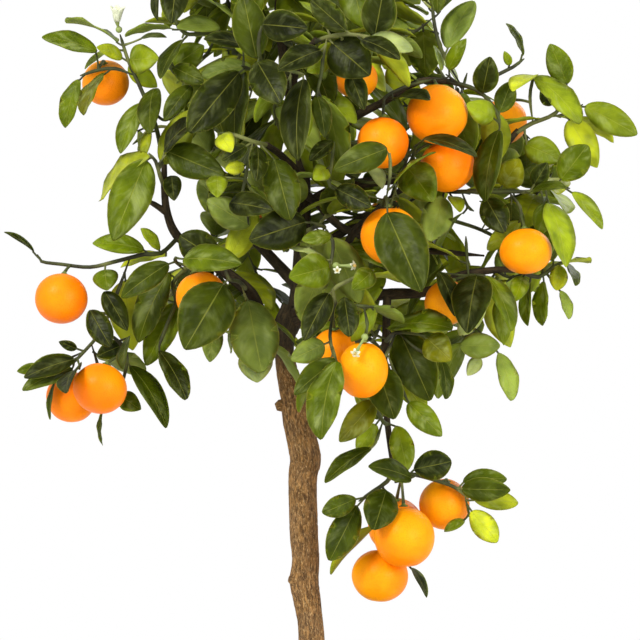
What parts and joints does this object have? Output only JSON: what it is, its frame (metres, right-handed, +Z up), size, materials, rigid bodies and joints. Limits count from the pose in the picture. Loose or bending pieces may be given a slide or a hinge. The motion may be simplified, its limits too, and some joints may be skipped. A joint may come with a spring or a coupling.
{
  "type": "orange tree bonsai",
  "caption": "Small fruiting orange tree with a bare upright trunk and a rounded leafy crown, planted in a round tapered clay pot of soil.",
  "frame": {"origin": "centre of the pot's flat underside", "axes": "+Z up along the trunk, -Y towards the front of the crown"},
  "size_m": [0.4372, 0.3495, 0.725],
  "materials": {
    "bark": "rough, finely fissured",
    "leaf_and_twig": "satin, waxy",
    "orange_peel": "glossy, finely pored",
    "petal": "matt, waxy",
    "fired_clay": "matt, unglazed",
    "soil": "rough, crumbly",
    "screen_mesh": "matt"
  },
  "bodies": {
    "root": {"blossom_centre": "petal", "blossom_low_centre": "petal", "blossom_top_left": "petal", "drainage_screen": "screen_mesh", "orange_01": "orange_peel", "orange_02": "orange_peel", "orange_03": "orange_peel", "orange_04": "orange_peel", "orange_05": "orange_peel", "orange_06": "orange_peel", "orange_07": "orange_peel", "orange_08": "orange_peel", "orange_09": "orange_peel", "orange_10": "orange_peel", "orange_11": "orange_peel", "orange_12": "orange_peel", "orange_13": "orange_peel", "orange_14": "orange_peel", "orange_15": "orange_peel", "orange_16": "orange_peel", "orange_17": "orange_peel", "orange_18": "orange_peel", "orange_19": "orange_peel", "orange_20": "orange_peel", "orange_21": "orange_peel", "orange_22": "orange_peel", "orange_23": "orange_peel", "pot": "fired_clay", "soil": "soil", "spray_back_centre_high": "leaf_and_twig", "spray_back_centre_low": "leaf_and_twig", "spray_back_left_high": "leaf_and_twig", "spray_back_left_low": "leaf_and_twig", "spray_back_right_high": "leaf_and_twig", "spray_back_right_low": "leaf_and_twig", "spray_centre": "leaf_and_twig", "spray_centre_low": "leaf_and_twig", "spray_centre_right": "leaf_and_twig", "spray_centre_upper_left": "leaf_and_twig", "spray_crown_top": "leaf_and_twig", "spray_hanging_left": "leaf_and_twig", "spray_hanging_right": "leaf_and_twig", "spray_hanging_upper": "leaf_and_twig", "spray_left_centre": "leaf_and_twig", "spray_left_centre_low": "leaf_and_twig", "spray_left_middle": "leaf_and_twig", "spray_left_upper": "leaf_and_twig", "spray_low_right_centre": "leaf_and_twig", "spray_right_inner": "leaf_and_twig", "spray_right_lower": "leaf_and_twig", "spray_right_middle": "leaf_and_twig", "spray_right_outer": "leaf_and_twig", "spray_right_side": "leaf_and_twig", "spray_top_centre": "leaf_and_twig", "spray_top_centre_left": "leaf_and_twig", "spray_top_left": "leaf_and_twig", "spray_top_left_inner": "leaf_and_twig", "spray_top_left_outer": "leaf_and_twig", "spray_top_right": "leaf_and_twig", "trunk_and_limbs": "bark"}
  },
  "joints": []
}
